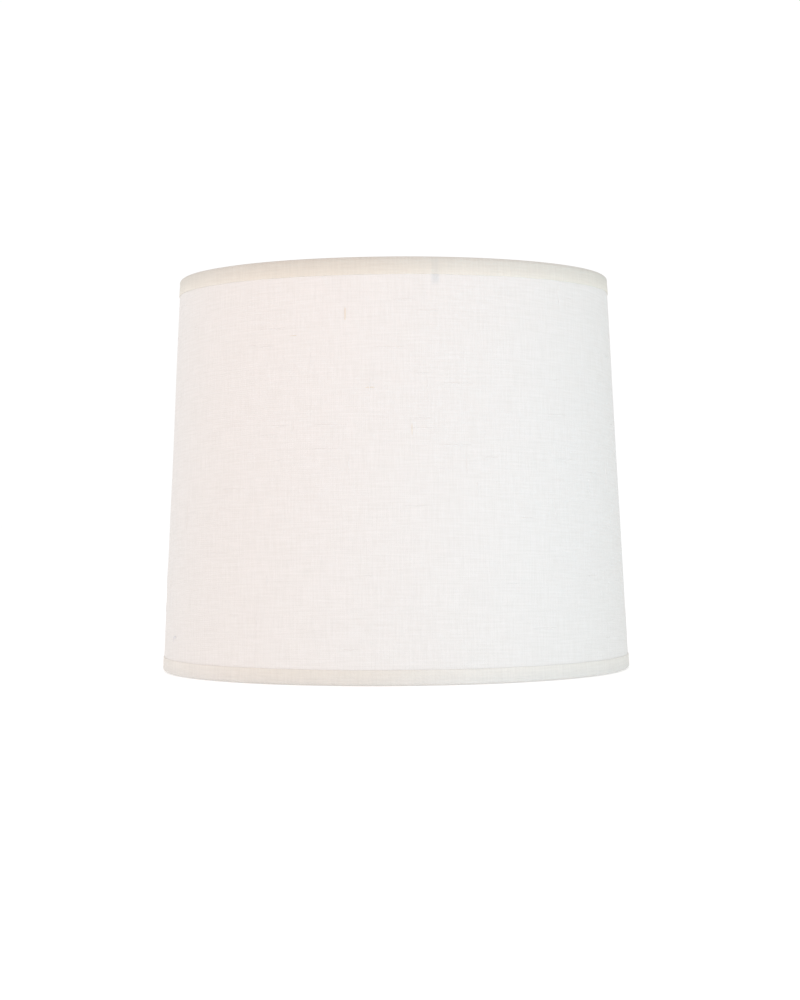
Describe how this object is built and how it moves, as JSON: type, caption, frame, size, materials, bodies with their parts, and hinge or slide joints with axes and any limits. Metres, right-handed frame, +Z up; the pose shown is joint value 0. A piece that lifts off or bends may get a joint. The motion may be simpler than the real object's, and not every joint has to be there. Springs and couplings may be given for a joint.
{
  "type": "tapered drum lamp shade",
  "caption": "Tapered drum shade of linen laminated to a rigid liner, bound at both edges over wire rings, with a recessed spider fitter for a harp.",
  "frame": {"origin": "middle of the circle that the bottom edge stands on", "axes": "+Z up along the shade's axis, towards the fitter; -Y to the front; the panel's lap seam is at the back, towards +Y"},
  "size_m": [0.3061, 0.3083, 0.254],
  "materials": {
    "linen": "plain-woven off-white linen with slubs, laminated",
    "styrene": "satin white sheet",
    "adhesive": "translucent double-sided tape",
    "cream_binding": "folded cream self-trim strip",
    "brass_plated_steel": "brass-plated steel wire and washer"
  },
  "bodies": {
    "root": {"linen_cover": "linen", "styrene_liner": "styrene", "seam_tape": "adhesive", "top_trim": "cream_binding", "bottom_trim": "cream_binding", "top_ring": "brass_plated_steel", "bottom_ring": "brass_plated_steel", "spider_arm_1": "brass_plated_steel", "spider_arm_2": "brass_plated_steel", "spider_arm_3": "brass_plated_steel", "spider_washer": "brass_plated_steel"}
  },
  "joints": []
}
